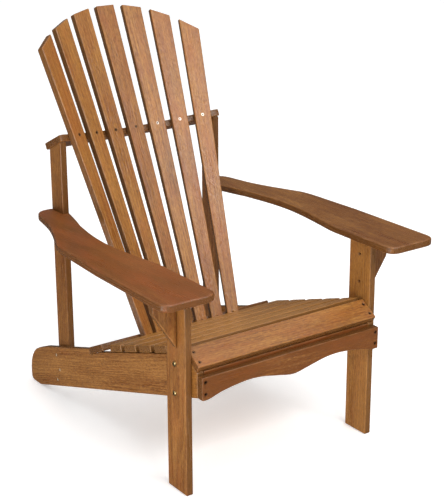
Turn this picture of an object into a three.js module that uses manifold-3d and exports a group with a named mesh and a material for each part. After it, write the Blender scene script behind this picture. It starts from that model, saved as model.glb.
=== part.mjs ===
// An adirondack chair, built from flat boards that are screwed and bolted together.
//
// Millimetres, +Z up. X runs across the chair and the sitter faces -Y. "Left" is -X, the left
// hand of somebody who looks at the chair from the front. Boards are laid out from the front
// edge of the front legs (y = 0) and the floor (z = 0). The whole group is then moved along Y,
// so that the origin is on the floor under the middle of the chair.

import * as THREE from 'three';
import { mergeVertices } from 'three/addons/utils/BufferGeometryUtils.js';
import Module from 'manifold-3d';

const wasm = await Module();
wasm.setup();

// ---------------------------------------------------------------- driving dimensions

const BOARD = 18; // thickness of every board
const GAP = 0.3; // clearance between pieces that touch
const SIDES = { left: -1, right: 1 };

const FRAME_HALF = 260; // half the width over the two stringers
const LEG_WIDTH = 78;
const ARM_UNDERSIDE = 503;
const LEG_TOP = ARM_UNDERSIDE - GAP;

const STRINGER_FRONT = -20.2; // the stringers run out past the legs to carry the apron
const STRINGER_REAR = 794;
const STRINGER_FALL = 0.3277; // fall of the stringer's lower edge for each mm backwards
const STRINGER_FOOT = 744; // where the lower edge reaches the floor

const SEAT_FALL = 0.3385; // fall of the seat for each mm backwards
const SEAT_START = new THREE.Vector2(110, 315); // a point on the line that the seat slats rest on
const SEAT_SLAT = { count: 5, width: 56, first: 41, pitch: 67.8 };
const FRONT_SLAT = { width: 59, slope: 0.64, lowerFront: new THREE.Vector2(-27, 328.2) };
const FRONT_RAIL_HEIGHT = 40;

const BACK_TILT = THREE.MathUtils.degToRad(25.8); // lean of the back, and tilt of both cross rails
const BACK_SLATS = 7;
const FAN_STEP = THREE.MathUtils.degToRad(7.1); // angle between neighbouring back slats
const SLAT_STANDOFF = 1; // a flat slat stands off the hollow edge that it is screwed to
const SLAT_FOOT_WIDTH = 31.4;
const SLAT_FLARE = 0.0249; // gain in width for each mm upwards
const TIP_ARC = { radius: 415, top: 1004 }; // the rounded top of the back, seen from the front

const LOWER_RAIL = { y: 399.2, z: 218.4, front: -2, rear: 69.8, hollow: 21.7, radius: 375 };
const CROSSBAR = { y: 601, z: 709, front: 0, rear: 88, hollow: 51, radius: 535 };

const POST_OUTER = FRAME_HALF - BOARD - GAP;
const POST_FRONT = 606;
const POST_REAR = 664;

const ARM_FRONT = -87.5;
const ARM_CORNER = 30; // radius of the arm's two front corners
const BRACKET_REACH = 62;
const BRACKET_HEIGHT = 145;
const BRACKET_LIP = 50; // height of the bracket's upright outer edge
const BRACKET_FRONT = 31;

const SCREW = { head: 4.2, cone: 2.6, shank: 2, recess: 1.4 };
const BOLT = { head: 6.8, dome: 3.4, shank: 3, socket: 2.4, socketDepth: 2.2 };
const NUT = { flange: 6.8, rim: 2.2, sleeve: 4.4, depth: 10 };
const ROUND_SEGMENTS = 10;
const DRILL_CLEAR = 12; // how far a drilled hole carries on out of the wood

// ---------------------------------------------------------------- solids, cutting, placing

const chair = new THREE.Group();

function toSolid(geometry) {
  const bare = geometry.clone();
  bare.deleteAttribute('normal');
  bare.deleteAttribute('uv');
  const merged = mergeVertices(bare);
  return new wasm.Manifold(new wasm.Mesh({
    numProp: 3,
    vertProperties: merged.attributes.position.array,
    triVerts: Uint32Array.from(merged.index.array),
  }));
}

function toGeometry(solid) {
  const { vertProperties, triVerts } = solid.getMesh();
  const indexed = new THREE.BufferGeometry();
  indexed.setAttribute('position', new THREE.BufferAttribute(vertProperties, 3));
  indexed.setIndex(new THREE.BufferAttribute(triVerts, 1));
  const geometry = indexed.toNonIndexed();
  geometry.computeVertexNormals();
  return geometry;
}

// Drills the hole out of a board; both the board and the fastener hang in the same group.
function drill(board, hole, fastener) {
  board.updateMatrix();
  fastener.updateMatrix();
  const intoBoard = board.matrix.clone().invert().multiply(fastener.matrix);
  const tool = hole.clone().applyMatrix4(intoBoard);
  board.geometry = toGeometry(toSolid(board.geometry).subtract(toSolid(tool)));
}

function add(name, geometry, material) {
  const mesh = new THREE.Mesh(geometry, material);
  mesh.name = name;
  chair.add(mesh);
  return mesh;
}

function addBoard(name, geometry, colour) {
  const wood = new THREE.MeshStandardMaterial({ color: colour, roughness: 0.55, metalness: 0 });
  return add(name, geometry, wood);
}

function extrude(outline, curveSegments = 4) {
  return new THREE.ExtrudeGeometry(outline, { depth: BOARD, bevelEnabled: false, curveSegments });
}

function polygon(points) {
  return new THREE.Shape(points.map(([x, y]) => new THREE.Vector2(x, y)));
}

// A board that stands in the YZ plane, drawn as seen from +X, from its inner face outwards.
function standBesideSeat(mesh, side, innerFace) {
  const basis = new THREE.Matrix4().makeBasis(
    new THREE.Vector3(0, 1, 0),
    new THREE.Vector3(0, 0, 1),
    new THREE.Vector3(1, 0, 0),
  );
  mesh.quaternion.setFromRotationMatrix(basis);
  mesh.position.x = side > 0 ? innerFace : -innerFace - BOARD;
}

// A board that stands in the XZ plane, drawn as seen from the front.
function standAcross(mesh, frontFace) {
  mesh.rotation.x = Math.PI / 2;
  mesh.position.y = frontFace + BOARD;
}

const stringerLowerEdge = (y) => (STRINGER_FOOT - y) * STRINGER_FALL;
const seatLine = (y) => SEAT_START.y - SEAT_FALL * (y - SEAT_START.x);

// A point of a tilted cross rail: across the chair, back along its face, up through its edge.
function railPoint(rail, x, back, up) {
  const point = new THREE.Vector3(x, back, up);
  point.applyAxisAngle(new THREE.Vector3(1, 0, 0), -BACK_TILT);
  return point.add(new THREE.Vector3(0, rail.y, rail.z));
}

// ---------------------------------------------------------------- sides

const WOOD_SIDE = 0x9a6137;
const WOOD_LIGHT = 0xab6c3c;
const WOOD_SEAT = 0xb0713f;
const WOOD_BACK = 0xa3683a;

function frontLeg(name, side) {
  const leg = addBoard(name, new THREE.BoxGeometry(BOARD, LEG_WIDTH, LEG_TOP), WOOD_SIDE);
  leg.position.set(side * (FRAME_HALF + GAP + BOARD / 2), LEG_WIDTH / 2, LEG_TOP / 2);
  return leg;
}

// The stringer is one long board: it is rear leg, seat bearer and apron bearer in one.
function stringer(name, side) {
  const bevelSlope = FRONT_SLAT.slope;
  const slatDrop = BOARD * Math.hypot(1, bevelSlope) + GAP;
  const bevel = (y) => FRONT_SLAT.lowerFront.y + bevelSlope * (y - FRONT_SLAT.lowerFront.x) - slatDrop;
  const peak = (seatLine(0) - bevel(0)) / (bevelSlope + SEAT_FALL); // where bevel and seat line meet
  const notchFloor = railPoint(LOWER_RAIL, 0, LOWER_RAIL.rear + GAP, -GAP);
  const notchTop = railPoint(LOWER_RAIL, 0, LOWER_RAIL.rear + GAP, 14.5);
  const notchStart = 417;
  const notchStartHeight = notchFloor.z + (notchFloor.y - notchStart) * Math.tan(BACK_TILT);
  const outline = new THREE.Shape();
  outline.moveTo(STRINGER_FRONT, stringerLowerEdge(STRINGER_FRONT));
  outline.lineTo(STRINGER_FOOT, 0);
  outline.lineTo(STRINGER_REAR - 14, 0);
  outline.quadraticCurveTo(STRINGER_REAR, 0, STRINGER_REAR, 16);
  outline.lineTo(STRINGER_REAR, 38);
  outline.bezierCurveTo(STRINGER_REAR - 2, 70, 772, 98, 746, 108);
  outline.lineTo(704, 126);
  outline.lineTo(notchTop.y, notchTop.z);
  outline.lineTo(notchFloor.y, notchFloor.z);
  outline.lineTo(notchStart, notchStartHeight);
  outline.lineTo(peak, seatLine(peak));
  outline.lineTo(STRINGER_FRONT, bevel(STRINGER_FRONT));
  const board = addBoard(name, extrude(outline, 5), WOOD_SIDE);
  standBesideSeat(board, side, FRAME_HALF - BOARD);
  return board;
}

// The post's top is cut to the tilt of the crossbar, its foot to the slope of the stringer.
function rearPost(name, side) {
  const top = (y) => CROSSBAR.z - (y - CROSSBAR.y) * Math.tan(BACK_TILT) - GAP / Math.cos(BACK_TILT);
  const foot = (y) => stringerLowerEdge(y) + 3;
  const outline = polygon([
    [POST_FRONT, foot(POST_FRONT)],
    [POST_REAR, foot(POST_REAR)],
    [POST_REAR, top(POST_REAR)],
    [POST_FRONT, top(POST_FRONT)],
  ]);
  const board = addBoard(name, extrude(outline), WOOD_SIDE);
  standBesideSeat(board, side, POST_OUTER - BOARD);
  return board;
}

// ---------------------------------------------------------------- arms

// Seen from above: broad in front, waisted towards the back, notched round the rear post.
function arm(name, side) {
  const notchX = POST_OUTER + GAP;
  const notchY = POST_FRONT - GAP;
  const inner = 247;
  const outer = 388;
  const at = (x, y) => new THREE.Vector2(side * x, y);
  const outline = new THREE.Shape();
  const corner = (x, y) => outline.quadraticCurveTo(side * x[0], y[0], side * x[1], y[1]);
  outline.moveTo(side * inner, ARM_FRONT + ARM_CORNER);
  outline.lineTo(side * 248, 100);
  outline.splineThru([at(249, 140), at(258, 200), at(268, 275), at(272, 345), at(266, 420), at(252, 500)]);
  outline.splineThru([at(239, 545), at(224, notchY)]);
  outline.lineTo(side * notchX, notchY);
  outline.lineTo(side * notchX, POST_REAR);
  outline.lineTo(side * 262, POST_REAR);
  corner([290, 297], [POST_REAR, 630]);
  outline.splineThru([at(304, 594), at(314, 550), at(331, 500), at(356, 440), at(373, 398), at(379, 345)]);
  outline.lineTo(side * 386, 200);
  outline.lineTo(side * outer, ARM_FRONT + ARM_CORNER);
  corner([outer, outer - ARM_CORNER], [ARM_FRONT, ARM_FRONT]);
  outline.lineTo(side * (inner + ARM_CORNER), ARM_FRONT);
  corner([inner, inner], [ARM_FRONT, ARM_FRONT + ARM_CORNER]);
  const board = addBoard(name, extrude(outline, 5), WOOD_SIDE);
  board.position.z = ARM_UNDERSIDE;
  return board;
}

// The bracket stands against the outside of the leg, across the chair, and props up the arm.
function armBracket(name, side) {
  const inner = FRAME_HALF + BOARD + 2 * GAP;
  const outer = inner + BRACKET_REACH;
  const outline = polygon([
    [side * inner, LEG_TOP],
    [side * outer, LEG_TOP],
    [side * outer, LEG_TOP - BRACKET_LIP],
    [side * inner, LEG_TOP - BRACKET_HEIGHT],
  ]);
  const board = addBoard(name, extrude(outline), WOOD_SIDE);
  standAcross(board, BRACKET_FRONT);
  return board;
}

// ---------------------------------------------------------------- front and seat

// The lower edge is scalloped: it drops at the ends and in the middle.
function apron() {
  const half = 259;
  const top = 306;
  const end = 250;
  const wave = [[240, 250], [204, 260], [160, 266.5], [125, 268.7], [90, 266], [45, 257], [0, 249]];
  const lower = wave.concat(wave.slice(0, -1).reverse().map(([x, z]) => [-x, z]));
  const outline = new THREE.Shape();
  outline.moveTo(half, top);
  outline.lineTo(-half, top);
  outline.lineTo(-half, end);
  outline.splineThru(lower.map(([x, z]) => new THREE.Vector2(-x, z)));
  outline.lineTo(half, end);
  const board = addBoard('front_apron', extrude(outline, 3), WOOD_SEAT);
  standAcross(board, STRINGER_FRONT - GAP - BOARD);
  return board;
}

// Backs the apron between the stringers and closes the space under the front slat's lower edge.
function frontRail() {
  const half = FRAME_HALF - BOARD - GAP;
  const slatDrop = BOARD * Math.cos(Math.atan(FRONT_SLAT.slope));
  const top = FRONT_SLAT.lowerFront.y - slatDrop - 2 * GAP;
  const outline = polygon([
    [-half, top - FRONT_RAIL_HEIGHT],
    [half, top - FRONT_RAIL_HEIGHT],
    [half, top],
    [-half, top],
  ]);
  const board = addBoard('seat_front_rail', extrude(outline), WOOD_SEAT);
  standAcross(board, STRINGER_FRONT + GAP);
  return board;
}

// A flat board across the seat, placed by the front corner of its upper face.
function seatBoard(name, width, slope, frontY, frontZ, colour) {
  const board = addBoard(name, new THREE.BoxGeometry(2 * FRAME_HALF, width, BOARD), colour);
  board.rotation.x = Math.atan(slope);
  board.position.set(0, frontY, frontZ);
  board.translateY(width / 2);
  board.translateZ(-BOARD / 2);
  return board;
}

function frontSeatSlat() {
  const { width, slope, lowerFront } = FRONT_SLAT;
  return seatBoard('front_seat_slat', width, slope, lowerFront.x, lowerFront.y, WOOD_LIGHT);
}

function seatSlat(index) {
  const { width, first, pitch } = SEAT_SLAT;
  const lift = BOARD / Math.cos(Math.atan(SEAT_FALL)) + GAP;
  const y = first + pitch * index;
  return seatBoard(`seat_slat_${index + 1}`, width, -SEAT_FALL, y, seatLine(y) + lift, WOOD_SEAT);
}

// ---------------------------------------------------------------- back

// Both cross rails lie at the tilt of the back, and a hollow arc in the front edge fans the slats.
function crossRail(name, rail, half) {
  const reach = Math.acos(1 - (rail.hollow - rail.front) / rail.radius);
  const outline = new THREE.Shape();
  outline.moveTo(half, rail.rear);
  outline.lineTo(-half, rail.rear);
  outline.lineTo(-half, rail.front);
  const centre = rail.hollow - rail.radius;
  outline.absarc(0, centre, rail.radius, Math.PI / 2 + reach, Math.PI / 2 - reach, true);
  outline.lineTo(half, rail.front);
  const board = addBoard(name, extrude(outline, 12), WOOD_BACK);
  board.rotation.x = -BACK_TILT;
  board.position.set(0, rail.y, rail.z);
  return board;
}

function hollowPoint(rail, angle) {
  const back = rail.hollow - rail.radius * (1 - Math.cos(angle));
  return railPoint(rail, rail.radius * Math.sin(angle), back, BOARD / 2);
}

// The frame of a back slat: across its face, up along it, and out of its front face.
function slatFrame(angle) {
  const foot = hollowPoint(LOWER_RAIL, angle);
  const up = hollowPoint(CROSSBAR, angle).sub(foot);
  const length = up.length();
  up.divideScalar(length);
  const across = new THREE.Vector3(Math.cos(angle), -Math.sin(angle), 0);
  across.applyAxisAngle(new THREE.Vector3(1, 0, 0), -BACK_TILT);
  across.addScaledVector(up, -across.dot(up)).normalize();
  const out = new THREE.Vector3().crossVectors(across, up);
  foot.addScaledVector(out, SLAT_STANDOFF);
  return { foot, across, up, out, length };
}

const slatHalfWidth = (along) => (SLAT_FOOT_WIDTH + SLAT_FLARE * along) / 2;

// How far up the slat one of its edges meets the rounded top of the back.
function tipAlong({ foot, across, up, out }, edge) {
  let along = TIP_ARC.top;
  for (let pass = 0; pass < 8; pass += 1) {
    const corner = foot.clone().addScaledVector(out, BOARD).addScaledVector(up, along);
    corner.addScaledVector(across, edge * slatHalfWidth(along));
    const drop = TIP_ARC.radius - Math.sqrt(TIP_ARC.radius ** 2 - corner.x ** 2);
    along += (TIP_ARC.top - drop - corner.z) / up.z;
  }
  return along;
}

function backSlat(index) {
  const frame = slatFrame((index - (BACK_SLATS - 1) / 2) * FAN_STEP);
  const bottom = -BOARD / 2;
  const left = tipAlong(frame, -1);
  const right = tipAlong(frame, 1);
  const outline = polygon([
    [-slatHalfWidth(bottom), bottom],
    [slatHalfWidth(bottom), bottom],
    [slatHalfWidth(right), right],
    [-slatHalfWidth(left), left],
  ]);
  const board = addBoard(`back_slat_${index + 1}`, extrude(outline), WOOD_BACK);
  const basis = new THREE.Matrix4().makeBasis(frame.across, frame.up, frame.out);
  board.quaternion.setFromRotationMatrix(basis);
  board.position.copy(frame.foot);
  return { board, frame };
}

// ---------------------------------------------------------------- fasteners

// Lathe profiles are pairs of radius and height; height 0 is where the head seats.
function turned(profile) {
  const points = profile.map(([radius, height]) => new THREE.Vector2(radius, height));
  return new THREE.LatheGeometry(points, ROUND_SEGMENTS).rotateX(Math.PI / 2);
}

function metal(colour) {
  return new THREE.MeshStandardMaterial({ color: colour, roughness: 0.35, metalness: 1 });
}

function countersunkScrew(length) {
  const { head, cone, shank } = SCREW;
  const tip = 4;
  return turned([[0, -length], [shank, tip - length], [shank, -cone], [head, 0], [0, 0]]);
}

function countersunkHole(length) {
  const radius = SCREW.shank + GAP;
  const mouth = SCREW.head + GAP;
  return turned([
    [0, -length - GAP],
    [radius, -length - GAP],
    [radius, -SCREW.cone - GAP],
    [mouth, -GAP],
    [mouth, DRILL_CLEAR],
    [0, DRILL_CLEAR],
  ]);
}

function legBolt(length) {
  const { head, dome, shank, socket, socketDepth } = BOLT;
  const body = turned([
    [0, -length],
    [shank, -length],
    [shank, 0],
    [head, 0],
    [head, dome * 0.35],
    [head * 0.75, dome * 0.85],
    [head * 0.5, dome],
    [0, dome],
  ]);
  const hexagon = new THREE.CylinderGeometry(socket, socket, 2 * socketDepth, 6);
  hexagon.rotateX(Math.PI / 2).translate(0, 0, dome);
  return toGeometry(toSolid(body).subtract(toSolid(hexagon)));
}

function straightHole(radius, depth) {
  return turned([[0, -depth], [radius, -depth], [radius, DRILL_CLEAR], [0, DRILL_CLEAR]]);
}

function sleeveNut() {
  const { flange, rim, sleeve, depth } = NUT;
  const bore = BOLT.shank + GAP;
  return turned([
    [bore, -depth],
    [sleeve, -depth],
    [sleeve, 0],
    [flange, 0],
    [flange, rim * 0.6],
    [flange * 0.8, rim],
    [bore, rim],
    [bore, -depth],
  ]);
}

// Places a fastener with its head at a point of the wood's face and its shank going inwards.
function aim(mesh, face, inwards, sink) {
  mesh.quaternion.setFromUnitVectors(new THREE.Vector3(0, 0, -1), inwards);
  mesh.position.copy(face).addScaledVector(inwards, sink);
}

function screw(name, face, inwards, length, boards) {
  const mesh = add(name, countersunkScrew(length), metal(0x8d7a55));
  aim(mesh, face, inwards, SCREW.recess);
  const hole = countersunkHole(length);
  boards.forEach((board) => drill(board, hole, mesh));
}

// A countersunk hole on its own, for the screws that are too many to model as solids.
function screwHole(face, inwards, length, board) {
  const marker = new THREE.Object3D();
  aim(marker, face, inwards, SCREW.recess);
  drill(board, countersunkHole(length), marker);
}

// ---------------------------------------------------------------- the chair

const inwardsFrom = (side) => new THREE.Vector3(-side, 0, 0);

const apronBoard = apron();
const frontSlat = frontSeatSlat();
const rail = frontRail();
const seatSlats = Array.from({ length: SEAT_SLAT.count }, (_, index) => seatSlat(index));
const lowerRail = crossRail('lower_back_rail', LOWER_RAIL, FRAME_HALF);
const crossbar = crossRail('upper_crossbar', CROSSBAR, POST_OUTER);
const backSlats = Array.from({ length: BACK_SLATS }, (_, index) => backSlat(index));

for (const [word, side] of Object.entries(SIDES)) {
  const leg = frontLeg(`front_leg_${word}`, side);
  const bearer = stringer(`side_stringer_${word}`, side);
  const post = rearPost(`rear_post_${word}`, side);
  arm(`arm_${word}`, side);
  const bracket = armBracket(`arm_bracket_${word}`, side);
  const inwards = inwardsFrom(side);
  const outwards = inwards.clone().negate();

  // Two bolts and two sleeve nuts clamp the stringer to the leg.
  const legFace = FRAME_HALF + GAP + BOARD;
  const boltLength = 2 * BOARD + 1.2;
  for (const [place, z] of [['upper', 318], ['lower', 245]]) {
    const bolt = add(`leg_bolt_${word}_${place}`, legBolt(boltLength), metal(0xb59b62));
    aim(bolt, new THREE.Vector3(side * (legFace + GAP), 43, z), inwards, 0);
    const nut = add(`leg_nut_${word}_${place}`, sleeveNut(), metal(0xb59b62));
    aim(nut, new THREE.Vector3(side * (FRAME_HALF - BOARD - GAP), 43, z), outwards, 0);
    drill(leg, straightHole(BOLT.shank + GAP, boltLength + 1), bolt);
    drill(bearer, straightHole(BOLT.shank + GAP, boltLength + 1), bolt);
    drill(bearer, straightHole(NUT.sleeve + GAP, NUT.depth + GAP), nut);
  }

  // Three screws hold the rear post against the inside of the stringer.
  const postScrews = [[645, 122], [629, 85], [644, 51]];
  postScrews.forEach(([y, z], index) => {
    const face = new THREE.Vector3(side * FRAME_HALF, y, z);
    screw(`post_screw_${word}_${index + 1}`, face, inwards, 30, [bearer, post]);
  });

  // Two screws through the leg hold the bracket's edge.
  for (const [place, z] of [['upper', 470], ['lower', 400]]) {
    const face = new THREE.Vector3(side * (FRAME_HALF + GAP), BRACKET_FRONT + BOARD / 2, z);
    screw(`bracket_screw_${word}_${place}`, face, outwards, 34, [leg, bracket]);
  }

  // Two screws at each end hold the apron to the stringer's end grain.
  const screwX = side * (FRAME_HALF - 10.5);
  for (const [place, z] of [['upper', 293.8], ['lower', 264.7]]) {
    const face = new THREE.Vector3(screwX, STRINGER_FRONT - GAP - BOARD, z);
    screw(`apron_screw_${word}_${place}`, face, new THREE.Vector3(0, 1, 0), 40, [apronBoard, bearer]);
  }

  // Two screws at each end hold the sloping front slat to the stringer's bevel.
  const frontDown = new THREE.Vector3(0, 0, -1).applyQuaternion(frontSlat.quaternion);
  for (const [place, along] of [['rear', 42.5], ['front', 13.7]]) {
    const face = new THREE.Vector3(screwX, along - FRONT_SLAT.width / 2, BOARD / 2);
    face.applyMatrix4(frontSlat.matrix.compose(frontSlat.position, frontSlat.quaternion, frontSlat.scale));
    screw(`front_slat_screw_${word}_${place}`, face, frontDown, 34, [frontSlat, bearer]);
  }

  // One countersunk hole at each end of every seat slat.
  for (const slat of seatSlats) {
    slat.updateMatrix();
    const down = new THREE.Vector3(0, 0, -1).applyQuaternion(slat.quaternion);
    const face = new THREE.Vector3(screwX, 0, BOARD / 2).applyMatrix4(slat.matrix);
    screwHole(face, down, BOARD, slat);
  }
}

// Three countersunk holes in the front rail's rear face, for the screws that pull the apron to it.
for (const x of [-150, 0, 150]) {
  const face = new THREE.Vector3(x, STRINGER_FRONT + GAP + BOARD, 292);
  screwHole(face, new THREE.Vector3(0, -1, 0), BOARD, rail);
}

// Each back slat is screwed to the crossbar, and has a hole for its screw into the lower rail.
backSlats.forEach(({ board, frame }, index) => {
  const inwards = frame.out.clone().negate();
  const fromMiddle = Math.abs(index - (BACK_SLATS - 1) / 2) / ((BACK_SLATS - 1) / 2);
  const rise = 3.5 * (1 - fromMiddle ** 2); // the row of screws is flatter than the hollow
  const face = (along) => frame.foot.clone()
    .addScaledVector(frame.out, BOARD)
    .addScaledVector(frame.up, along);
  screw(`slat_screw_${index + 1}`, face(frame.length + rise), inwards, 44, [board, crossbar]);
  screwHole(face(0), inwards, BOARD, board);
});

chair.position.y = -(ARM_FRONT + STRINGER_REAR) / 2;

export default chair;
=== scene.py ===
"""Looks of a slatted adirondack chair: oiled hardwood boards with eased edges, screws and brass bolts."""

import math
import random

import bmesh
import bpy
from mathutils import Matrix, Vector


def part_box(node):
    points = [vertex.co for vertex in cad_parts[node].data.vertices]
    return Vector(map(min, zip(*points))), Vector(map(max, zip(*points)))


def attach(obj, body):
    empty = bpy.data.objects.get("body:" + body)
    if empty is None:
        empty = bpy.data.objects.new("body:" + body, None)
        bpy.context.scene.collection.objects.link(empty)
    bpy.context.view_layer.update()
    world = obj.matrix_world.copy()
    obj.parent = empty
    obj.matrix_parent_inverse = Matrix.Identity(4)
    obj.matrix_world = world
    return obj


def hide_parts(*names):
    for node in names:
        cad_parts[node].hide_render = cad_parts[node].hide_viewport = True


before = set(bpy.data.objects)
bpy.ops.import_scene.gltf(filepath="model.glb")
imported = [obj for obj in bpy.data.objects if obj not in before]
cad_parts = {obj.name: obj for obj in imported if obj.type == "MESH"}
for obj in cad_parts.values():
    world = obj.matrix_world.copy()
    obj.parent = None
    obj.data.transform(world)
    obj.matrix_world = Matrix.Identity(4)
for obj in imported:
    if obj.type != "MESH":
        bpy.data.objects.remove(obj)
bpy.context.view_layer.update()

# Sizes in metres.
EASE = 0.0028
ARM_EASE = 0.0045
SCREW_HEAD_RADIUS = 0.0041
SCREW_SHANK_RADIUS = 0.002
SCREW_CONE = 0.0025
COUNTERSINK_DEPTH = 0.0014
SCREW_PROUD = 0.0001
SEAT_SCREW_X = 0.2495
SLAT_FOOT_SCREW = 0.009
RAIL_SCREW_X = 0.150
RAIL_SCREW_Z = 0.292
LOOSE_SCREW_LENGTH = 0.030
BOLT_DOME = 0.0034
NUT_DOME = 0.0022
# Corners of a CAD slat this close to its lower end belong to its foot.
FOOT_REACH = 0.002
SAME_PLACE = 1e-5

EASE_STEPS = 3
SEGMENTS = 32
SEAT_SLATS = 5
BACK_SLATS = 7
AXIS_STEPS = 40
BOLT_NAMES = ("leg_bolt_", "leg_nut_")

# Angles between two faces: most within one flat face, least at a board's edge, range at the rim of a
# screw hole, least at an edge that is shaded sharp.
FLAT_ANGLE = math.radians(0.5)
EDGE_ANGLE = math.radians(30)
HOLE_ANGLE = (math.radians(20), math.radians(60))
SHARP_ANGLE = math.radians(35)
# A screw recess's arms are this much as wide as they are long.
RECESS_ARM = 0.34

X_AXIS = Vector((1, 0, 0))
Y_AXIS = Vector((0, 1, 0))
Z_AXIS = Vector((0, 0, 1))

# Board family: grain direction (None follows the board's own length), edge radius, lightness, reddish cast.
FAMILIES = {
    "back_slat": (None, EASE, 0.57, 0.32),
    "side_stringer": (None, EASE, 0.55, 0.0),
    "front_leg_left": (Z_AXIS, EASE, 0.53, 0.10),
    "front_leg_right": (Z_AXIS, EASE, 0.70, 0.22),
    "rear_post": (Z_AXIS, EASE, 0.42, 0.0),
    "arm_bracket": (Z_AXIS, EASE, 0.40, 0.10),
    "arm_left": (Y_AXIS, ARM_EASE, 0.22, 0.60),
    "arm_right": (Y_AXIS, ARM_EASE, 0.38, 0.0),
    "upper_crossbar": (X_AXIS, EASE, 0.44, 0.15),
    "lower_back_rail": (X_AXIS, EASE, 0.42, 0.15),
    "front_apron": (X_AXIS, EASE, 0.17, 0.05),
    # The seat front rail is coloured darkest and reddest: painted shade, as it lies in the shade behind the
    # apron under the front slat.
    "seat_front_rail": (X_AXIS, EASE, 0.10, 0.60),
    "front_seat_slat": (X_AXIS, EASE, 0.58, 0.25),
    "seat_slat": (X_AXIS, EASE, 0.95, 0.0),
}
# Lightness added to each back slat.
SLAT_TONES = (0.02, 0.0, 0.0, -0.04, -0.02, 0.0, 0.02)
# A board's lightness and cast vary by up to this much.
TONE_SPREAD = 0.05
RED_SPREAD = 0.12
# How far the tree's heart lies from a board, and how far a board may lie along the trunk.
PITH_REACH = (0.06, 0.22)
PITH_SLIDE = 9

# Wood colours, linear.
DEEP_WOOD = (0.155, 0.048, 0.0075, 1)
LIGHT_WOOD = (0.462, 0.210, 0.048, 1)
RED_WOOD = (0.330, 0.082, 0.018, 1)
PORE_WOOD = (0.085, 0.032, 0.014, 1)
# Colour of chafed eased edges: wear, and a painted highlight where the edges catch the light.
RUBBED_AND_LIT_WOOD = (0.520, 0.270, 0.110, 1)
# Cut colour: the darker colour of end grain, and painted shade on the narrow edges.
CUT_AND_SHADED_WOOD = (0.118, 0.048, 0.013, 1)
# How much of the cut colour the narrow edges take as painted shade, against 1 on end grain.
EDGE_SHADE_DEPTH = 0.95
# How square to an axis a face has to be before it takes the cut colour (end grain, and painted shade on
# narrow edges), and over what range it fades in.
CUT_AND_SHADE_START = 0.6
CUT_AND_SHADE_FADE = 0.3

# Wood figure: cycles per metre across, through and along the board, detail, roughness of the noise.
STREAK = ((300, 300, 14), 3.0, 0.6)
FLECK = ((330, 330, 95), 3.0, 0.65)
BAND = ((130, 130, 3.5), 2.0, 0.55)
CLOUD = ((22, 22, 5), 2.0, 0.5)
HUE = ((34, 34, 11), 1.0, 0.5)
PORE = ((900, 900, 80), 1.0, 0.5)
# Patches on the eased edges that are lightened: wear and a painted highlight.
CHAFE_AND_HIGHLIGHT = ((60, 60, 30), 3.0, 0.7)
RING_WOBBLE = (9, 9, 1.6)
RING_SHIFT = 0.05
RINGS_PER_METRE = 150
# Part of a ring's width over which latewood fades in, and over which it fades out.
LATEWOOD_IN = (0.0, 0.78)
LATEWOOD_OUT = (0.86, 1.0)
# Noise values between which a pore or a chafed spot fades in; the chafed spots are wear and a painted
# highlight on the eased edges.
PORE_FADE = (0.58, 0.68)
CHAFE_AND_HIGHLIGHT_FADE = (0.42, 0.62)
# How much each part of the figure changes the lightness, and hue the reddish cast.
STREAK_WEIGHT = 0.46
FLECK_WEIGHT = 0.90
BAND_WEIGHT = 0.36
CLOUD_WEIGHT = 0.55
LATEWOOD_WEIGHT = -0.14
HUE_WEIGHT = 1.3
# A reddish cast from 0 to CAST_RANGE mixes in none to RED_SHARE of the red colour.
CAST_RANGE = 1.2
RED_SHARE = 0.6
# Most of their colour that pores, chafed spots (wear and a painted highlight) and cut faces (end grain, and
# painted shade on narrow edges) mix in.
PORE_SHARE = 0.50
RUBBED_AND_LIT_SHARE = 0.16
CUT_AND_SHADE_SHARE = 0.78
# Roughness of plain oiled wood, and what streaks, clouds and cut faces add to it.
PLAIN_ROUGHNESS = 0.17
STREAK_ROUGHNESS = 0.12
CLOUD_ROUGHNESS = 0.16
CUT_ROUGHNESS = -0.04
# Bumps: distance in metres, strength.
FIBRE_BUMP = (0.0015, 0.60)
PORE_BUMP = (0.0004, 0.30)

# Metal: clean and stained colour (linear), least roughness, how metallic.
METALS = {
    "bolt_brass": ((0.74, 0.56, 0.27, 1), (0.42, 0.30, 0.14, 1), 0.26, 1.0),
    "screw_steel": ((0.270, 0.150, 0.085, 1), (0.095, 0.050, 0.030, 1), 0.26, 1.0),
    # The same screws as the steel ones, made pale as a painted glint.
    "screw_nickel": ((0.62, 0.54, 0.47, 1), (0.40, 0.32, 0.26, 1), 0.26, 1.0),
    "screw_bronze": ((0.52, 0.30, 0.15, 1), (0.40, 0.22, 0.11, 1), 0.35, 1.0),
    # Pale zinc plating, made brighter and less metallic as a painted glint.
    "screw_zinc": ((0.90, 0.78, 0.58, 1), (0.74, 0.60, 0.42, 1), 0.35, 0.25),
}
# Near-black colour of the recesses and rims: grime, and painted shade.
RECESS_DIRT_AND_SHADE = (0.018, 0.012, 0.008, 1)
# Noise: cycles per metre, detail, roughness of the noise.
STAIN = (420, 4.0, 0.65)
STAIN_FADE = (0.42, 0.66)
SCUFF = (1600, 2.0)
SCUFF_ROUGHNESS = 0.25
SCUFF_BUMP = (0.0002, 0.25)
# Slat screws that take the pale metal as a painted glint.
PAINTED_GLINT_SCREWS = ("slat_screw_5", "slat_screw_6", "slat_screw_7")

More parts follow.
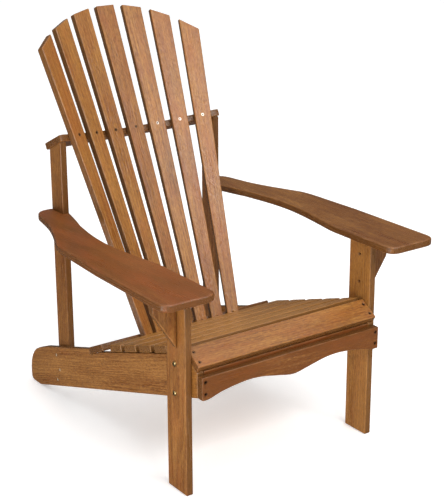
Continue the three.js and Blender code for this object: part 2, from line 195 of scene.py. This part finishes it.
# Studio. Paper figures are noise: cycles per metre, detail.
PAPER_GREY = ((0.90, 0.90, 0.90, 1), (0.93, 0.93, 0.925, 1))
PAPER_MOTTLE = (3.0, 3.0)
PAPER_FIBRES = (900, 2.0)
PAPER_BUMP = (0.0003, 0.1)
PAPER_ROUGHNESS = 0.9
PAPER_LIGHT = 0.36
SWEEP_FRONT = -9.0
SWEEP_START = 6.0
SWEEP_BEND = 2.5
SWEEP_STEPS = 16
SWEEP_HEIGHT = 9.0
SWEEP_COLUMNS = (-12, -4, 4, 12)
FLOOR_DROP = 0.0005
WALL_REACH = 8.4
WALL_FOOT = -0.01
WALL_HEIGHT = 12.0
WALL_SIDES = 96
CAMERA_YAW = math.radians(35.236)
CAMERA_PITCH = math.radians(19.085)
CAMERA_ROLL = math.radians(-0.207)
CAMERA_PLACE = (-1.7954, -2.64415, 1.5503)
CAMERA_LENS = 97.17
LIGHT_AIM = (0, 0, 0.45)
# Softbox: name, place, width and height in metres, power in watts, colour.
SOFTBOXES = (
    ("key_left", (-4.2, -1.3, 1.70), (3.2, 3.0), 16, (1.0, 0.98, 0.95)),
    ("low_left", (-2.1, -0.9, 0.14), (2.0, 0.5), 27, (1.0, 0.98, 0.95)),
    ("fill_front", (0.3, -4.6, 1.20), (3.2, 2.2), 8, (1.0, 0.98, 0.96)),
    ("sheen_front", (0.0, -2.9, 2.70), (2.2, 1.0), 86, (1.0, 0.98, 0.96)),
    ("overhead", (0.0, 0.0, 4.5), (4.0, 4.0), 18, (1.0, 1.0, 1.0)),
)
AIR_COLOUR = (0.96, 0.98, 1.0, 1)
# The air's strength rises from the first to the second value between these heights on the unit sphere.
AIR_RISE = (0.46, 0.85)
AIR_STRENGTH = (0.09, 1.06)


def family(node):
    """The entry of FAMILIES with the longest name that the node's name starts with."""
    key = max((k for k in FAMILIES if node.startswith(k)), key=len)
    return FAMILIES[key]


# Materials


class Nodes:
    """Short ways to add shader nodes to one material."""

    def __init__(self, name):
        self.material = bpy.data.materials.new(name)
        self.material.use_nodes = True
        self.tree = self.material.node_tree
        self.shader = self.tree.nodes["Principled BSDF"]

    def link(self, out, socket):
        self.tree.links.new(out, socket)

    def add(self, kind, **sockets):
        node = self.tree.nodes.new(kind)
        for key, value in sockets.items():
            self.put(node.inputs[key.replace("_", " ")], value)
        return node

    def put(self, socket, value):
        if isinstance(value, bpy.types.NodeSocket):
            self.link(value, socket)
        else:
            socket.default_value = value

    def attribute(self, name, output):
        node = self.tree.nodes.new("ShaderNodeAttribute")
        node.attribute_name = name
        return node.outputs[output]

    def maths(self, operation, a, b=0.0, c=0.0):
        node = self.tree.nodes.new("ShaderNodeMath")
        node.operation = operation
        for socket, value in zip(node.inputs, (a, b, c)):
            self.put(socket, value)
        return node.outputs[0]

    def vector(self, operation, a, b=(0, 0, 0)):
        node = self.tree.nodes.new("ShaderNodeVectorMath")
        node.operation = operation
        self.put(node.inputs[0], a)
        self.put(node.inputs[1], b)
        return node.outputs["Value" if operation == "LENGTH" else "Vector"]

    def noise(self, vector, scale, detail=2.0, roughness=0.5):
        node = self.add("ShaderNodeTexNoise", Vector=vector, Scale=scale, Detail=detail, Roughness=roughness)
        return node.outputs["Fac"]

    def spread(self, value, low, high, to_low=0.0, to_high=1.0):
        """value moved from the range low..high to the range to_low..to_high, smoothly and clamped."""
        node = self.tree.nodes.new("ShaderNodeMapRange")
        node.interpolation_type = "SMOOTHSTEP"
        for socket, part in zip(node.inputs, (value, low, high, to_low, to_high)):
            self.put(socket, part)
        return node.outputs[0]

    def mix(self, factor, a, b):
        node = self.tree.nodes.new("ShaderNodeMix")
        node.data_type = "RGBA"
        self.put(node.inputs[0], factor)
        self.put(node.inputs[6], a)
        self.put(node.inputs[7], b)
        return node.outputs[2]

    def bump(self, height, distance, strength, normal=None):
        node = self.add("ShaderNodeBump", Height=height, Distance=distance, Strength=strength)
        if normal is not None:
            self.link(normal, node.inputs["Normal"])
        return node.outputs["Normal"]


def wood():
    """Oiled hardwood. The grain attribute is in metres across, through and along the board, from the pith."""
    n = Nodes("oiled_hardwood")
    grain = n.attribute("grain", "Vector")
    tone = n.attribute("tone", "Fac")
    red = n.attribute("red", "Fac")
    ends_and_edge_shade = n.attribute("end_grain_and_edge_shade", "Fac")
    worn_and_lit = n.attribute("worn_and_lit", "Fac")

    def figure(stretch, detail, roughness):
        return n.noise(n.vector("MULTIPLY", grain, stretch), 1.0, detail, roughness)

    wobble = n.add(
        "ShaderNodeTexNoise",
        Vector=n.vector("MULTIPLY", grain, RING_WOBBLE),
        Scale=1.0,
        Detail=2.0,
    )
    shift = n.vector("SUBTRACT", wobble.outputs["Color"], (0.5, 0.5, 0.5))
    bent = n.vector("ADD", grain, n.vector("MULTIPLY", shift, (RING_SHIFT, RING_SHIFT, 0)))
    from_pith = n.vector("LENGTH", n.vector("MULTIPLY", bent, (1, 1, 0)))
    ring = n.maths("FRACT", n.maths("MULTIPLY", from_pith, RINGS_PER_METRE))
    rise = n.spread(ring, *LATEWOOD_IN)
    fall = n.spread(ring, *LATEWOOD_OUT, 1.0, 0.0)
    latewood = n.maths("MULTIPLY", rise, fall)

    streak = figure(*STREAK)
    fleck = figure(*FLECK)
    band = figure(*BAND)
    cloud = figure(*CLOUD)
    pore = n.spread(figure(*PORE), *PORE_FADE)

    depth = tone
    for part, weight in (
        (streak, STREAK_WEIGHT),
        (fleck, FLECK_WEIGHT),
        (band, BAND_WEIGHT),
        (cloud, CLOUD_WEIGHT),
    ):
        depth = n.maths("MULTIPLY_ADD", n.maths("SUBTRACT", part, 0.5), weight, depth)
    depth = n.maths("MULTIPLY_ADD", latewood, LATEWOOD_WEIGHT, depth)
    colour = n.mix(n.spread(depth, 0.0, 1.0), DEEP_WOOD, LIGHT_WOOD)
    cast = n.maths("MULTIPLY_ADD", n.maths("SUBTRACT", figure(*HUE), 0.5), HUE_WEIGHT, red)
    colour = n.mix(n.spread(cast, 0.0, CAST_RANGE, 0.0, RED_SHARE), colour, RED_WOOD)
    colour = n.mix(n.maths("MULTIPLY", pore, PORE_SHARE), colour, PORE_WOOD)
    # Eased edges lightened in patches: wear, and a painted highlight where they catch the light.
    rubbed_and_lit = n.maths("MULTIPLY", worn_and_lit, n.spread(figure(*CHAFE_AND_HIGHLIGHT), *CHAFE_AND_HIGHLIGHT_FADE))
    colour = n.mix(n.maths("MULTIPLY", rubbed_and_lit, RUBBED_AND_LIT_SHARE), colour, RUBBED_AND_LIT_WOOD)
    # End grain darker in its own colour; narrow edges darker as painted shade.
    colour = n.mix(n.maths("MULTIPLY", ends_and_edge_shade, CUT_AND_SHADE_SHARE), colour, CUT_AND_SHADED_WOOD)
    n.link(colour, n.shader.inputs["Base Color"])

    roughness = PLAIN_ROUGHNESS
    for part, weight in ((streak, STREAK_ROUGHNESS), (cloud, CLOUD_ROUGHNESS), (ends_and_edge_shade, CUT_ROUGHNESS)):
        roughness = n.maths("MULTIPLY_ADD", part, weight, roughness)
    n.link(roughness, n.shader.inputs["Roughness"])
    fibres = n.bump(n.maths("ADD", streak, fleck), *FIBRE_BUMP)
    n.link(n.bump(n.maths("SUBTRACT", 1.0, pore), *PORE_BUMP, fibres), n.shader.inputs["Normal"])
    n.shader.inputs["IOR"].default_value = 1.5
    n.shader.inputs["Specular IOR Level"].default_value = 0.5
    return n.material


def metal(name, clean, stained, roughness, metallic):
    """Dull metal with stained patches; the recess and the head's rim are darkened by grime and painted shade
    (attribute deep).
    """
    n = Nodes(name)
    place = n.add("ShaderNodeTexCoord").outputs["Object"]
    stain = n.spread(n.noise(place, *STAIN), *STAIN_FADE)
    scuff = n.noise(place, *SCUFF)
    colour = n.mix(stain, clean, stained)
    # Recess and rim darkened: grime and painted shade.
    colour = n.mix(n.attribute("deep", "Fac"), colour, RECESS_DIRT_AND_SHADE)
    n.link(colour, n.shader.inputs["Base Color"])
    n.link(n.maths("MULTIPLY_ADD", scuff, SCUFF_ROUGHNESS, roughness), n.shader.inputs["Roughness"])
    n.link(n.bump(scuff, *SCUFF_BUMP), n.shader.inputs["Normal"])
    n.shader.inputs["Metallic"].default_value = metallic
    return n.material


def studio_paper():
    """Matt pale paper of the sweep and the wall."""
    n = Nodes("studio_paper")
    place = n.add("ShaderNodeTexCoord").outputs["Object"]
    n.link(n.mix(n.noise(place, *PAPER_MOTTLE), *PAPER_GREY), n.shader.inputs["Base Color"])
    n.link(n.bump(n.noise(place, *PAPER_FIBRES), *PAPER_BUMP), n.shader.inputs["Normal"])
    n.shader.inputs["Roughness"].default_value = PAPER_ROUGHNESS
    n.shader.inputs["Emission Color"].default_value = (1, 1, 1, 1)
    n.shader.inputs["Emission Strength"].default_value = PAPER_LIGHT
    return n.material


# Boards


def merged(node):
    """The CAD board as a bmesh without doubled corners or edges inside a flat face."""
    bm = bmesh.new()
    bm.from_mesh(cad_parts[node].data)
    bmesh.ops.remove_doubles(bm, verts=bm.verts, dist=SAME_PLACE)
    bmesh.ops.dissolve_limit(bm, angle_limit=FLAT_ANGLE, verts=bm.verts, edges=bm.edges)
    bm.normal_update()
    return bm


def board_axes(bm, direction):
    """Unit vectors across, through and along the board."""
    through = max(bm.faces, key=lambda f: f.calc_area()).normal.copy()
    if direction is None:
        flat = [f for f in bm.faces if abs(f.normal.dot(through)) > 0.99]
        edges = [e for f in flat for e in f.edges if e.calc_face_angle(0) > EDGE_ANGLE]
        longest = max(edges, key=lambda e: e.calc_length())
        direction = longest.verts[1].co - longest.verts[0].co
        if direction.z < 0:
            direction = -direction
    along = (direction - through * direction.dot(through)).normalized()
    return through.cross(along), through, along


def ease_edges(bm, radius):
    """Rounds the outer edges, leaves the screw holes crisp and returns the rounding's faces."""
    in_hole = set()
    for e in bm.edges:
        if e.is_manifold and HOLE_ANGLE[0] < -e.calc_face_angle_signed(0) < HOLE_ANGLE[1]:
            in_hole.update(e.verts)
    edges = [
        e
        for e in bm.edges
        if e.is_manifold and e.calc_face_angle(0) > EDGE_ANGLE and not in_hole.intersection(e.verts)
    ]
    made = bmesh.ops.bevel(
        bm,
        geom=edges,
        offset=radius,
        offset_type="OFFSET",
        segments=EASE_STEPS,
        profile=0.5,
        affect="EDGES",
        clamp_overlap=True,
    )
    return made["faces"]


def smooth_piece(bm, name, material):
    """The bmesh as a smooth-shaded object."""
    mesh = bpy.data.meshes.new(name)
    bm.to_mesh(mesh)
    bm.free()
    mesh.shade_smooth()
    mesh.materials.append(material)
    piece = bpy.data.objects.new(name, mesh)
    bpy.context.scene.collection.objects.link(piece)
    return piece


def sharp_piece(bm, name, material):
    """The bmesh as a smooth-shaded object with sharp edges and weighted normals."""
    bm.normal_update()
    piece = smooth_piece(bm, name, material)
    piece.data.set_sharp_from_angle(angle=SHARP_ANGLE)
    piece.modifiers.new("weighted", "WEIGHTED_NORMAL").keep_sharp = True
    return piece


def store(mesh, name, kind, domain, values):
    """Writes values to a new attribute of the mesh."""
    key = "vector" if kind == "FLOAT_VECTOR" else "value"
    mesh.attributes.new(name, kind, domain).data.foreach_set(key, values)


def cut_and_shade_depth(normal, axes):
    """How much of the cut colour a face takes: 1 on end grain, less as painted shade on narrow edges, 0 on
    the faces.
    """
    across, _, along = (abs(normal.dot(a)) for a in axes)
    end = min(1.0, max(0.0, (along - CUT_AND_SHADE_START) / CUT_AND_SHADE_FADE))
    edge = min(1.0, max(0.0, (across - CUT_AND_SHADE_START) / CUT_AND_SHADE_FADE))
    return max(end, EDGE_SHADE_DEPTH * edge)


def board(node, material):
    """A planed board with eased edges in the place of its CAD node."""
    direction, radius, tone, red = family(node)
    rng = random.Random(node)
    bm = merged(node)
    axes = board_axes(bm, direction)
    eased = set(ease_edges(bm, radius))
    bm.verts.index_update()
    # Corners on the rounded edges, lightened later as wear and a painted highlight.
    rubbed_and_lit = [float(bool(v.link_faces) and all(f in eased for f in v.link_faces)) for v in bm.verts]
    bmesh.ops.triangulate(bm, faces=bm.faces)
    piece = sharp_piece(bm, node + "_board", material)
    mesh = piece.data

    centre = sum((v.co for v in mesh.vertices), Vector()) / len(mesh.vertices)
    turn = rng.uniform(0, math.tau)
    reach = rng.uniform(*PITH_REACH)
    slide = rng.uniform(-PITH_SLIDE, PITH_SLIDE)
    pith = Vector((math.cos(turn) * reach, math.sin(turn) * reach, slide))
    if node.startswith("back_slat_"):
        tone += SLAT_TONES[int(node[-1]) - 1]
    tone += rng.uniform(-TONE_SPREAD, TONE_SPREAD)
    red += rng.uniform(-RED_SPREAD, RED_SPREAD)
    count = len(mesh.vertices)
    spots = [pith + Vector([(v.co - centre).dot(a) for a in axes]) for v in mesh.vertices]
    store(mesh, "grain", "FLOAT_VECTOR", "POINT", [part for spot in spots for part in spot])
    store(mesh, "worn_and_lit", "FLOAT", "POINT", rubbed_and_lit)
    store(mesh, "tone", "FLOAT", "POINT", [tone] * count)
    store(mesh, "red", "FLOAT", "POINT", [red] * count)
    # Cut colour per face: end grain, and painted shade on narrow edges.
    store(mesh, "end_grain_and_edge_shade", "FLOAT", "FACE", [cut_and_shade_depth(f.normal, axes) for f in mesh.polygons])

    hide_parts(node)
    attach(piece, "root")
    return axes


# Fasteners


def round_shape(angle):
    """Outline of a circle."""
    return 1.0


def cross_shape(angle):
    """Outline of a cross recess."""
    turn = abs((angle + math.pi / 4) % (math.pi / 2) - math.pi / 4)
    return min(1.0 / math.cos(turn), RECESS_ARM / max(math.sin(turn), 1e-6))


def hexagon_shape(angle):
    """Outline of a hexagon whose flats are one unit from the centre."""
    return 1.0 / math.cos((angle + math.pi / 6) % (math.pi / 3) - math.pi / 6)


def turned(name, rings, material):
    """A closed fastener made of rings (outline, size, height, depth of grime and painted shade), about Z."""
    bm = bmesh.new()
    deep = bm.verts.layers.float.new("deep")
    loops = []
    for shape, size, height, dirt_and_shade in rings:
        if size == 0:
            corners = [bm.verts.new((0, 0, height))]
        else:
            corners = []
            for i in range(SEGMENTS):
                angle = math.tau * i / SEGMENTS
                reach = size * shape(angle)
                corners.append(bm.verts.new((reach * math.cos(angle), reach * math.sin(angle), height)))
        for corner in corners:
            corner[deep] = dirt_and_shade
        loops.append(corners)
    for low, high in zip(loops, loops[1:]):
        for i in range(SEGMENTS):
            j = (i + 1) % SEGMENTS
            quad = [low[i % len(low)], low[j % len(low)], high[j % len(high)], high[i % len(high)]]
            bm.faces.new(list(dict.fromkeys(quad)))
    bmesh.ops.recalc_face_normals(bm, faces=bm.faces)
    return sharp_piece(bm, name, material)


def screw(name, length, material):
    """A countersunk screw with a cross recess; its head's top is at the origin and its point goes down."""
    head = SCREW_HEAD_RADIUS
    # The last value of a ring darkens it with grime and painted shade: in the recess and under the head's
    # rim.
    rings = (
        (round_shape, 0, -length, 0),
        (round_shape, SCREW_SHANK_RADIUS * 0.55, -length + 0.0012, 0),
        (round_shape, SCREW_SHANK_RADIUS, -length + 0.005, 0),
        (round_shape, SCREW_SHANK_RADIUS, -SCREW_CONE, 0),
        (round_shape, head * 0.97, -0.0005, 0.6),
        (round_shape, head, -0.00025, 0.5),
        (round_shape, head * 0.95, 0, 0.1),
        (round_shape, head * 0.62, 0, 0),
        (cross_shape, head * 0.56, -0.0001, 0.35),
        (cross_shape, head * 0.46, -0.0012, 1),
        (round_shape, 0, -0.0018, 1),
    )
    return turned(name, rings, material)


def bolt(name, length, radius, dome, material):
    """A button-head bolt with a hexagon socket; its head's underside is at the origin."""
    # The last value of a ring darkens it with grime and painted shade: in the socket and under the head.
    rings = (
        (round_shape, 0, -length, 0),
        (round_shape, 0.0024, -length, 0),
        (round_shape, 0.003, -length + 0.0008, 0),
        (round_shape, 0.003, 0, 0),
        (round_shape, radius * 0.96, 0, 0.8),
        (round_shape, radius, dome * 0.12, 0.4),
        (round_shape, radius * 0.985, dome * 0.30, 0),
        (round_shape, radius * 0.90, dome * 0.62, 0),
        (round_shape, radius * 0.72, dome * 0.88, 0),
        (round_shape, radius * 0.52, dome, 0),
        (round_shape, radius * 0.44, dome, 0.1),
        (hexagon_shape, radius * 0.355, dome * 0.95, 0.4),
        (hexagon_shape, radius * 0.345, dome * 0.25, 1),
        (round_shape, 0, dome * 0.15, 1),
    )
    return turned(name, rings, material)


def fastener_axis(node):
    """Outward direction, head end and far end of a CAD fastener along its axis."""
    corners = [v.co.copy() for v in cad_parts[node].data.vertices]
    centre = sum(corners, Vector()) / len(corners)
    axis = max((c - centre for c in corners), key=lambda d: d.length).normalized()
    for _ in range(AXIS_STEPS):
        pull = sum(((c - centre) * (c - centre).dot(axis) for c in corners), Vector())
        axis = pull.normalized()
    low = min((c - centre).dot(axis) for c in corners)
    high = max((c - centre).dot(axis) for c in corners)
    widest = max(corners, key=lambda c: (c - centre - axis * (c - centre).dot(axis)).length)
    if (widest - centre).dot(axis) < (low + high) / 2:
        axis, low, high = -axis, -high, -low
    return axis, centre + axis * high, centre + axis * low


def place(piece, axis, point, turn, slot_name):
    """Stands a turned piece on its axis at a point and lets it ride with the chair."""
    matrix = axis.to_track_quat("Z", "Y").to_matrix().to_4x4() @ Matrix.Rotation(turn, 4, "Z")
    piece.matrix_world = Matrix.Translation(point) @ matrix
    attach(piece, "root")


def screw_metal(node):
    """The name of the metal of a CAD screw."""
    # A painted glint on these screws.
    if node in PAINTED_GLINT_SCREWS:
        return "screw_nickel"
    # Pale zinc, brightened as a painted glint.
    if node.startswith("post_screw_"):
        return "screw_zinc"
    if node.startswith("bracket_screw_"):
        return "screw_bronze"
    return "screw_steel"


def fit_fasteners(metals):
    """A detailed screw, bolt or sleeve nut in the place of each CAD fastener."""
    for node in sorted(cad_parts):
        rng = random.Random(node)
        if "_screw_" in node:
            axis, head, tip = fastener_axis(node)
            piece = screw(node + "_driven", (head - tip).length, metals[screw_metal(node)])
            place(piece, axis, head, rng.uniform(0, math.pi / 2), "screw_steel")
            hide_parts(node)
        elif node.startswith(BOLT_NAMES):
            axis, head, tip = fastener_axis(node)
            low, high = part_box(node)
            radius = (high.z - low.z) / 2
            dome = BOLT_DOME if "bolt" in node else NUT_DOME
            piece = bolt(node + "_turned", (head - tip).length - dome, radius, dome, metals["bolt_brass"])
            place(piece, axis, head - axis * dome, rng.uniform(0, math.pi / 3), "bolt_brass")
            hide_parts(node)


def top_of(node, direction):
    """How far the CAD node reaches in a direction."""
    return max(v.co.dot(direction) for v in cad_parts[node].data.vertices)


def sink_screw(name, node, out, point, steel):
    """A screw in the countersunk hole of a board's face; point is anywhere on the hole's axis."""
    point = point + out * (top_of(node, out) - COUNTERSINK_DEPTH + SCREW_PROUD - point.dot(out))
    piece = screw(name, LOOSE_SCREW_LENGTH, steel)
    place(piece, out, point, random.Random(name).uniform(0, math.pi / 2), "screw_steel")


def seat_and_foot_screws(axes_of, steel):
    """The screws of the seat slats, of the front rail and of the back slats' feet."""
    for number in range(1, SEAT_SLATS + 1):
        node = f"seat_slat_{number}"
        up = axes_of[node][1]
        if up.z < 0:
            up = -up
        low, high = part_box(node)
        for side, x in (("left", -SEAT_SCREW_X), ("right", SEAT_SCREW_X)):
            point = Vector((x, (low.y + high.y) / 2, (low.z + high.z) / 2))
            sink_screw(f"{node}_screw_{side}", node, up, point, steel)
    for number, x in enumerate((-RAIL_SCREW_X, 0.0, RAIL_SCREW_X), 1):
        point = Vector((x, 0, RAIL_SCREW_Z))
        sink_screw(f"front_rail_screw_{number}", "seat_front_rail", Y_AXIS, point, steel)
    for number in range(1, BACK_SLATS + 1):
        node = f"back_slat_{number}"
        _, out, along = axes_of[node]
        if out.y > 0:
            out = -out
        foot_height = -top_of(node, -along)
        corners = [v.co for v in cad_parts[node].data.vertices]
        foot = [c for c in corners if c.dot(along) < foot_height + FOOT_REACH]
        point = sum(foot, Vector()) / len(foot)
        point += along * (foot_height + SLAT_FOOT_SCREW - point.dot(along))
        sink_screw(f"{node}_foot_screw", node, out, point, steel)


# Studio


def sweep(material):
    """A floor that curves up into the backdrop behind the chair."""
    profile = [(SWEEP_FRONT, 0.0)]
    for i in range(SWEEP_STEPS + 1):
        angle = math.radians(90) * i / SWEEP_STEPS
        profile.append((SWEEP_START + SWEEP_BEND * math.sin(angle), SWEEP_BEND * (1 - math.cos(angle))))
    profile.append((SWEEP_START + SWEEP_BEND, SWEEP_HEIGHT))
    bm = bmesh.new()
    rows = [[bm.verts.new((x, y, z)) for x in SWEEP_COLUMNS] for y, z in profile]
    for low, high in zip(rows, rows[1:]):
        for i in range(len(SWEEP_COLUMNS) - 1):
            bm.faces.new((low[i], low[i + 1], high[i + 1], high[i]))
    floor = smooth_piece(bm, "studio_sweep", material)
    floor.rotation_euler.z = -CAMERA_YAW
    floor.location.z = -FLOOR_DROP
    floor.visible_glossy = False


def wall(material):
    """A round pale wall far behind the lights; only the camera sees it, so it adds no light."""
    bm = bmesh.new()
    feet, tops = [], []
    for i in range(WALL_SIDES):
        angle = math.tau * i / WALL_SIDES
        x, y = WALL_REACH * math.cos(angle), WALL_REACH * math.sin(angle)
        feet.append(bm.verts.new((x, y, WALL_FOOT)))
        tops.append(bm.verts.new((x, y, WALL_HEIGHT)))
    for i in range(WALL_SIDES):
        j = (i + 1) % WALL_SIDES
        bm.faces.new((feet[j], feet[i], tops[i], tops[j]))
    ring = smooth_piece(bm, "studio_wall", material)
    ring.visible_diffuse = False
    ring.visible_glossy = False
    ring.visible_transmission = False
    ring.visible_shadow = False


def softbox(name, position, size, energy, colour):
    """A rectangular area light that faces the middle of the chair."""
    light = bpy.data.lights.new(name, "AREA")
    light.shape = "RECTANGLE"
    light.size, light.size_y = size
    light.energy = energy
    light.color = colour
    lamp = bpy.data.objects.new(name, light)
    lamp.location = position
    lamp.rotation_euler = (Vector(LIGHT_AIM) - Vector(position)).to_track_quat("-Z", "Y").to_euler()
    bpy.context.scene.collection.objects.link(lamp)


def studio_air():
    """Even light from above that fades out towards the horizon, so that level faces mirror a dim room."""
    world = bpy.data.worlds.new("studio_air")
    world.use_nodes = True
    tree = world.node_tree
    tree.nodes["Background"].inputs["Color"].default_value = AIR_COLOUR
    height = tree.nodes.new("ShaderNodeSeparateXYZ")
    tree.links.new(tree.nodes.new("ShaderNodeTexCoord").outputs["Generated"], height.inputs[0])
    rise = tree.nodes.new("ShaderNodeMapRange")
    rise.interpolation_type = "SMOOTHSTEP"
    for socket, value in zip(rise.inputs, (0.0, *AIR_RISE, *AIR_STRENGTH)):
        socket.default_value = value
    tree.links.new(height.outputs["Z"], rise.inputs[0])
    tree.links.new(rise.outputs[0], tree.nodes["Background"].inputs["Strength"])
    return world


def studio():
    """Camera, lights and backdrop."""
    paper = studio_paper()
    sweep(paper)
    wall(paper)
    for box in SOFTBOXES:
        softbox(*box)
    scene = bpy.context.scene
    scene.world = studio_air()
    scene.view_settings.view_transform = "Standard"
    camera = bpy.data.objects.new("camera", bpy.data.cameras.new("camera"))
    camera.data.lens = CAMERA_LENS
    camera.matrix_world = (
        Matrix.Translation(CAMERA_PLACE)
        @ Matrix.Rotation(-CAMERA_YAW, 4, "Z")
        @ Matrix.Rotation(math.pi / 2 - CAMERA_PITCH, 4, "X")
        @ Matrix.Rotation(CAMERA_ROLL, 4, "Z")
    )
    scene.collection.objects.link(camera)
    scene.camera = camera


def build():
    """The whole chair and its studio."""
    hardwood = wood()
    metals = {name: metal(name, *look) for name, look in METALS.items()}
    axes_of = {}
    for node in sorted(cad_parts):
        if "_screw_" not in node and not node.startswith(BOLT_NAMES):
            axes_of[node] = board(node, hardwood)
    fit_fasteners(metals)
    seat_and_foot_screws(axes_of, metals["screw_steel"])
    studio()


build()
